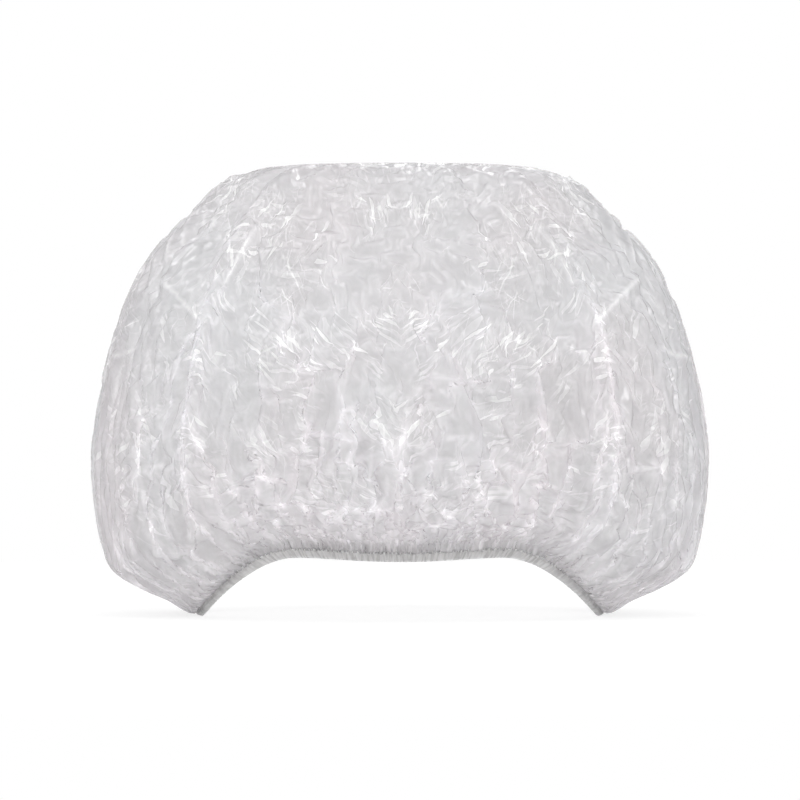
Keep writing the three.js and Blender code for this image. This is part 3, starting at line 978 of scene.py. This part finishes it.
# %% [markdown]
# ## Elastic finish
# The elastic is plain white latex, matt and a little uneven. It is hidden in the casing, so one fine noise is
# enough for its tone, its roughness and its relief.

# %% Elastic material
LATEX_SCALE = 400
LATEX_DARK, LATEX_LIGHT = (0.62, 0.6, 0.58, 1), (0.74, 0.73, 0.72, 1)
LATEX_ROUGHNESS = (0.65, 0.85)
LATEX_RELIEF = 0.1 * MM


def elastic_material():
    """Matt latex whose tone, roughness and relief follow one fine noise."""
    material, tree, shader, place = new_material("latex_elastic")
    tone = noise(tree, place, LATEX_SCALE, 3)
    tree.links.new(blend_colours(tree, LATEX_DARK, LATEX_LIGHT, tone), shader.inputs["Base Color"])
    tree.links.new(stretch_range(tree, tone, 0, 1, *LATEX_ROUGHNESS), shader.inputs["Roughness"])
    bend_normal(tree, shader, tone, LATEX_RELIEF)
    return material


elastic_finish = elastic_material()
print("elastic finish:", elastic_finish.name)

# %% [markdown]
# ## Fastening the pieces to the frame
# Each sheet stands for its plain solid, which is hidden, and takes its finish. When the opening is stretched,
# the front of the cap stays and the back edge moves: the lap is fastened to the back edge's body, and the other
# pieces stay where they are.

# %% Bodies and finishes
dressing = [
    (crown_piece, "crown_film", "crown_film", crown_finish),
    (casing, "hem_casing", "hem_film", hem_finish),
    (facing, "hem_facing", "hem_film", hem_finish),
    (weld, "hem_weld", "weld_line", weld_finish),
    (elastic, "elastic_band", "elastic", elastic_finish),
    (lap, "hem_lap", "hem_film", hem_finish),
]
for piece, node, slot, finish in dressing:
    piece.data.materials.append(finish)
    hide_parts(node)
    if piece is lap:
        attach(piece, "back_edge")
    else:
        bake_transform(piece)
print("dressed:", [node for piece, node, slot, finish in dressing])

# %% [markdown]
# ## Floor
# The cap lies on a pale floor that carries a faint shadow, and the background is plain white. The floor glows
# for the eye alone, so it looks white without throwing more light on the cap.

# %% Floor
FLOOR_HALF = 0.7
FLOOR_TONE, FLOOR_ROUGHNESS = (0.8, 0.8, 0.8, 1), 0.9
FLOOR_GLOW, FLOOR_SHADING = 0.74, (0.3, 0.3, 0.3, 1)


def plainly_seen(tree):
    """1 for rays that come from the camera, a reflection or see-through film, 0 for rays that carry light."""
    seen = tree.nodes.new("ShaderNodeLightPath")
    clear = math_node(tree, "MAXIMUM", seen.outputs["Is Glossy Ray"], seen.outputs["Is Transmission Ray"])
    return math_node(tree, "MAXIMUM", seen.outputs["Is Camera Ray"], clear)


def switch_shaders(tree, lighting, seen, surface):
    """Uses one shader for rays that carry light and another for the eye."""
    mix = tree.nodes.new("ShaderNodeMixShader")
    feed(tree, mix.inputs, (plainly_seen(tree), lighting.outputs[0], seen.outputs[0]))
    tree.links.new(mix.outputs[0], surface)


def floor_material():
    """Pale floor: plain to the light, and nearly white to the eye apart from the shadow."""
    material = bpy.data.materials.new("pale_floor")
    material.use_nodes = True
    tree = material.node_tree
    shader = tree.nodes["Principled BSDF"]
    shader.inputs["Base Color"].default_value = FLOOR_TONE
    shader.inputs["Roughness"].default_value = FLOOR_ROUGHNESS
    glow = tree.nodes.new("ShaderNodeEmission")
    glow.inputs["Strength"].default_value = FLOOR_GLOW
    dim = tree.nodes.new("ShaderNodeBsdfDiffuse")
    dim.inputs["Color"].default_value = FLOOR_SHADING
    both = tree.nodes.new("ShaderNodeAddShader")
    feed(tree, both.inputs, (glow.outputs[0], dim.outputs[0]))
    switch_shaders(tree, shader, both, tree.nodes["Material Output"].inputs["Surface"])
    return material


floor_mesh = bpy.data.meshes.new("floor")
corners = FLOOR_HALF * np.array([[-1, -1, 0], [1, -1, 0], [1, 1, 0], [-1, 1, 0]])
floor_mesh.from_pydata(corners, [], [(0, 1, 2, 3)])
floor_mesh.materials.append(floor_material())
floor = bpy.data.objects.new("floor", floor_mesh)
bpy.context.collection.objects.link(floor)
print("floor:", 2 * FLOOR_HALF, "m across")

# %% [markdown]
# ## Light
# Film is seen mostly by what it reflects. A soft even room lights it from everywhere, and nine soft boxes all
# around it, most of them high, give its facets something bright to glint with.

# %% Room and lamps
ROOM_LEVEL = 0.7
LAMP_DISTANCE = 1.5
LAMP_RADIANCE = 5
LAMPS = (
    (-32, 24, 0.22, 0.4), (28, 38, 0.4, 0.22), (-12, 62, 0.5, 0.25),
    (62, 26, 0.22, 0.5), (-68, 34, 0.22, 0.5), (20, 84, 0.5, 0.25),
    (104, 36, 0.25, 0.5), (-112, 40, 0.25, 0.5), (172, 42, 0.5, 0.25),
)


def white_world(level):
    """Soft even light, seen as plain white by the camera and in reflections."""
    world = bpy.data.worlds.new("white_room")
    world.use_nodes = True
    tree = world.node_tree
    soft = tree.nodes["Background"]
    soft.inputs["Color"].default_value = (1, 1, 1, 1)
    soft.inputs["Strength"].default_value = level
    white = tree.nodes.new("ShaderNodeBackground")
    white.inputs["Color"].default_value = (1, 1, 1, 1)
    switch_shaders(tree, soft, white, tree.nodes["World Output"].inputs["Surface"])
    return world


def soft_box(name, turn, rise, width, height, radiance):
    """Rectangular lamp aimed at the cap from a turn and a rise in degrees; its power is radiance times area
    times pi."""
    lamp = bpy.data.lights.new(name, "AREA")
    lamp.shape = "RECTANGLE"
    lamp.size = width
    lamp.size_y = height
    lamp.energy = radiance * width * height * np.pi
    turn, rise = np.radians(turn), np.radians(rise)
    away = Vector((np.sin(turn) * np.cos(rise), -np.cos(turn) * np.cos(rise), np.sin(rise)))
    box = bpy.data.objects.new(name, lamp)
    box.location = Vector((0, 0, CAP_HEIGHT / 2)) + LAMP_DISTANCE * away
    box.rotation_euler = (-away).to_track_quat("-Z", "Y").to_euler()
    bpy.context.collection.objects.link(box)


bpy.context.scene.world = white_world(ROOM_LEVEL)
for number, (turn, rise, width, height) in enumerate(LAMPS):
    soft_box(f"soft_box_{number + 1}", turn, rise, width, height, LAMP_RADIANCE)
bpy.context.scene.view_settings.view_transform = "Standard"
print("lamps:", len(LAMPS))
